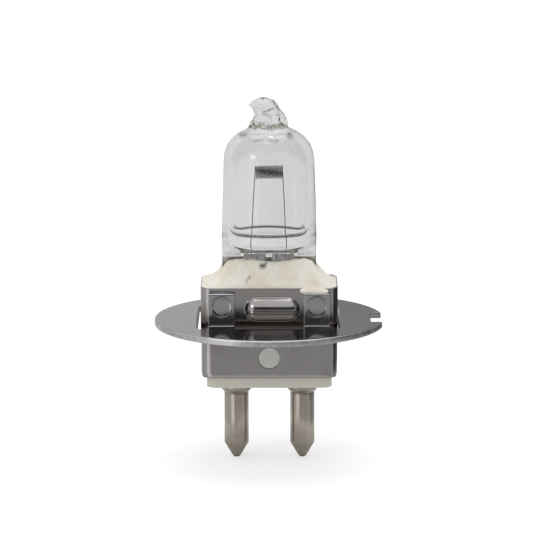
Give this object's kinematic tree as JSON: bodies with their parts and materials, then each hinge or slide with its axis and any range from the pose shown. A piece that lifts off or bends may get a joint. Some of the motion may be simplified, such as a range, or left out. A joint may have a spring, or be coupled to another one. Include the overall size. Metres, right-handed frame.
{
  "type": "prefocus halogen lamp",
  "caption": "Small quartz halogen lamp with a hooked exhaust tip, cemented in a metal shell on a round prefocus flange with two contact pins.",
  "frame": {"origin": "on the lamp's axis, in the plane of the flange's underside", "axes": "+Z along the lamp's axis towards the exhaust tip, +X towards the notch in the flange's rim, -Y is the front, from which the two filament legs stand side by side"},
  "size_m": [0.0218, 0.022, 0.0351],
  "materials": {
    "quartz": "clear fused quartz, fire polished",
    "tungsten": "drawn tungsten wire, dark grey",
    "molybdenum": "matt molybdenum with fine lengthwise ribs",
    "shell_plate": "nickel-plated sheet, smooth with faint drawing marks",
    "flange_plate": "nickel-plated sheet, satin, with light handling marks",
    "ceramic": "unglazed beige steatite",
    "cement": "rough off-white lamp cement",
    "pin_plate": "nickel-plated brass, warm grey, drawn lengthwise",
    "solder": "dull solder"
  },
  "bodies": {
    "root": {"quartz_envelope": "quartz", "filament": "tungsten", "foil_left": "molybdenum", "foil_right": "molybdenum", "lead_left": "molybdenum", "lead_right": "molybdenum", "base_shell": "shell_plate", "prefocus_flange": "flange_plate", "ceramic_base": "ceramic", "cement": "cement", "cement_plug_front": "cement", "cement_plug_back": "cement", "pin_left": "pin_plate", "pin_right": "pin_plate", "solder_left": "solder", "solder_right": "solder"}
  },
  "joints": []
}
